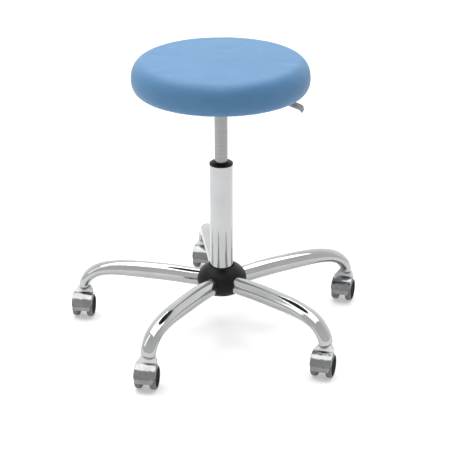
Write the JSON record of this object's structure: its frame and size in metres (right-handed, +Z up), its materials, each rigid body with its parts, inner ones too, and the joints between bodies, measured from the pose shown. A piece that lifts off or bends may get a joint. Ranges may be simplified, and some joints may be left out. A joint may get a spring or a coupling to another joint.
{
  "type": "swivel stool",
  "caption": "Round padded swivel stool on a chrome five-star tube base with twin-wheel casters, a gas lift column and a height lever under the seat.",
  "frame": {"origin": "on the floor, on the axis of the column", "axes": "+Z up along the column; +X to the right and +Y away from a person facing the stool with the height lever at the right"},
  "size_m": [0.6364, 0.6456, 0.606],
  "materials": {
    "chrome_tube": "polished",
    "caster_chrome": "polished, slightly dark",
    "satin_tube": "satin",
    "hub_steel": "matt black",
    "steel_parts": "zinc plated",
    "aluminium_parts": "machined",
    "black_plastic": "semi-matt",
    "black_rubber": "matt",
    "wheel_grey": "satin",
    "plate_black": "powder coat",
    "lever_steel": "zinc plated",
    "lever_grey": "satin",
    "plywood": "raw birch plywood",
    "foam": "open-cell foam",
    "vinyl_blue": "smooth vinyl",
    "lining_black": "non-woven"
  },
  "bodies": {
    "base": {"hub_core": "hub_steel", "hub_cover_upper": "black_plastic", "hub_cover_lower": "black_plastic", "hub_cover_screws": "steel_parts", "arm_1": "chrome_tube", "arm_2": "chrome_tube", "arm_3": "chrome_tube", "arm_4": "chrome_tube", "arm_5": "chrome_tube", "stem_sockets": "hub_steel", "caster_stems": "steel_parts", "lift_outer_tube": "chrome_tube", "lift_guide_bush": "black_plastic", "bearing_lower_race": "steel_parts"},
    "lift_rod": {"piston_rod": "steel_parts", "piston_head": "aluminium_parts", "piston_seal": "black_rubber", "bearing_upper_race": "steel_parts", "bearing_cage": "black_plastic", "bearing_balls": "steel_parts", "rubber_bumper": "black_rubber", "retaining_clip": "steel_parts"},
    "seat": {"lift_inner_tube": "satin_tube", "rod_guide_seal": "aluminium_parts", "valve_body": "aluminium_parts", "taper_cup": "plate_black", "seat_plate": "plate_black", "plate_bolts": "steel_parts", "board_tnuts": "steel_parts", "seat_board": "plywood", "seat_foam": "foam", "seat_cover": "vinyl_blue", "seat_lining": "lining_black", "cover_staples": "steel_parts", "lever_pivot_pin": "steel_parts", "lever_spring": "steel_parts"},
    "lever": {"lever_arm": "lever_steel", "lever_paddle": "lever_grey"},
    "release_pin": {"release_pin": "steel_parts"},
    "caster_1": {"caster_1_hood": "caster_chrome", "caster_1_axle": "steel_parts"},
    "wheel_1_left": {"wheel_1_left": "wheel_grey"},
    "wheel_1_right": {"wheel_1_right": "wheel_grey"},
    "caster_2": {"caster_2_hood": "caster_chrome", "caster_2_axle": "steel_parts"},
    "wheel_2_left": {"wheel_2_left": "wheel_grey"},
    "wheel_2_right": {"wheel_2_right": "wheel_grey"},
    "caster_3": {"caster_3_hood": "caster_chrome", "caster_3_axle": "steel_parts"},
    "wheel_3_left": {"wheel_3_left": "wheel_grey"},
    "wheel_3_right": {"wheel_3_right": "wheel_grey"},
    "caster_4": {"caster_4_hood": "caster_chrome", "caster_4_axle": "steel_parts"},
    "wheel_4_left": {"wheel_4_left": "wheel_grey"},
    "wheel_4_right": {"wheel_4_right": "wheel_grey"},
    "caster_5": {"caster_5_hood": "caster_chrome", "caster_5_axle": "steel_parts"},
    "wheel_5_left": {"wheel_5_left": "wheel_grey"},
    "wheel_5_right": {"wheel_5_right": "wheel_grey"}
  },
  "joints": [
    {"name": "seat_swivel", "type": "hinge", "parent": "base", "child": "lift_rod", "pos_m": [0, 0, 0.085], "axis": [0, 0, 1], "continuous": true},
    {"name": "seat_height", "type": "slide", "parent": "lift_rod", "child": "seat", "axis": [0, 0, 1], "range_m": [-0.1, 0.095]},
    {"name": "lever_pull", "type": "hinge", "parent": "seat", "child": "lever", "pos_m": [0.03939, -0.00695, 0.526], "axis": [-0.1736, -0.9848, 0], "range_deg": [0, 5], "stiffness_Nm_per_rad": 8, "springref_deg": -3.44, "deforming": ["lever_spring"]},
    {"name": "release_pin_press", "type": "slide", "parent": "seat", "child": "release_pin", "axis": [0, 0, -1], "range_m": [0, 0.0036]},
    {"name": "caster_1_swivel", "type": "hinge", "parent": "base", "child": "caster_1", "pos_m": [-0.14562, -0.27503, 0.06], "axis": [0, 0, 1], "continuous": true},
    {"name": "wheel_1_left_roll", "type": "hinge", "parent": "caster_1", "child": "wheel_1_left", "pos_m": [-0.16336, -0.28839, 0.025], "axis": [0.9874, -0.1582, 0], "continuous": true},
    {"name": "wheel_1_right_roll", "type": "hinge", "parent": "caster_1", "child": "wheel_1_right", "pos_m": [-0.13294, -0.29326, 0.025], "axis": [0.9874, -0.1582, 0], "continuous": true},
    {"name": "caster_2_swivel", "type": "hinge", "parent": "base", "child": "caster_2", "pos_m": [0.21657, -0.22348, 0.06], "axis": [0, 0, 1], "continuous": true},
    {"name": "wheel_2_left_roll", "type": "hinge", "parent": "caster_2", "child": "wheel_2_left", "pos_m": [0.1972, -0.23435, 0.025], "axis": [0.9573, -0.289, 0], "continuous": true},
    {"name": "wheel_2_right_roll", "type": "hinge", "parent": "caster_2", "child": "wheel_2_right", "pos_m": [0.22669, -0.24325, 0.025], "axis": [0.9573, -0.289, 0], "continuous": true},
    {"name": "caster_3_swivel", "type": "hinge", "parent": "base", "child": "caster_3", "pos_m": [0.27947, 0.13691, 0.06], "axis": [0, 0, 1], "continuous": true},
    {"name": "wheel_3_left_roll", "type": "hinge", "parent": "caster_3", "child": "wheel_3_left", "pos_m": [0.25995, 0.12632, 0.025], "axis": [0.9532, -0.3024, 0], "continuous": true},
    {"name": "wheel_3_right_roll", "type": "hinge", "parent": "caster_3", "child": "wheel_3_right", "pos_m": [0.28931, 0.117, 0.025], "axis": [0.9532, -0.3024, 0], "continuous": true},
    {"name": "caster_4_swivel", "type": "hinge", "parent": "base", "child": "caster_4", "pos_m": [-0.04385, 0.3081, 0.06], "axis": [0, 0, 1], "continuous": true},
    {"name": "wheel_4_left_roll", "type": "hinge", "parent": "caster_4", "child": "wheel_4_left", "pos_m": [-0.06217, 0.29555, 0.025], "axis": [0.9792, -0.2028, 0], "continuous": true},
    {"name": "wheel_4_right_roll", "type": "hinge", "parent": "caster_4", "child": "wheel_4_right", "pos_m": [-0.03201, 0.2893, 0.025], "axis": [0.9792, -0.2028, 0], "continuous": true},
    {"name": "caster_5_swivel", "type": "hinge", "parent": "base", "child": "caster_5", "pos_m": [-0.30657, 0.0535, 0.06], "axis": [0, 0, 1], "continuous": true},
    {"name": "wheel_5_left_roll", "type": "hinge", "parent": "caster_5", "child": "wheel_5_left", "pos_m": [-0.32368, 0.03935, 0.025], "axis": [0.9936, -0.1132, 0], "continuous": true},
    {"name": "wheel_5_right_roll", "type": "hinge", "parent": "caster_5", "child": "wheel_5_right", "pos_m": [-0.29308, 0.03586, 0.025], "axis": [0.9936, -0.1132, 0], "continuous": true}
  ],
  "couplings": [
    {"joint": "release_pin_press", "follows": "lever_pull", "m_per_rad": 0.04}
  ]
}
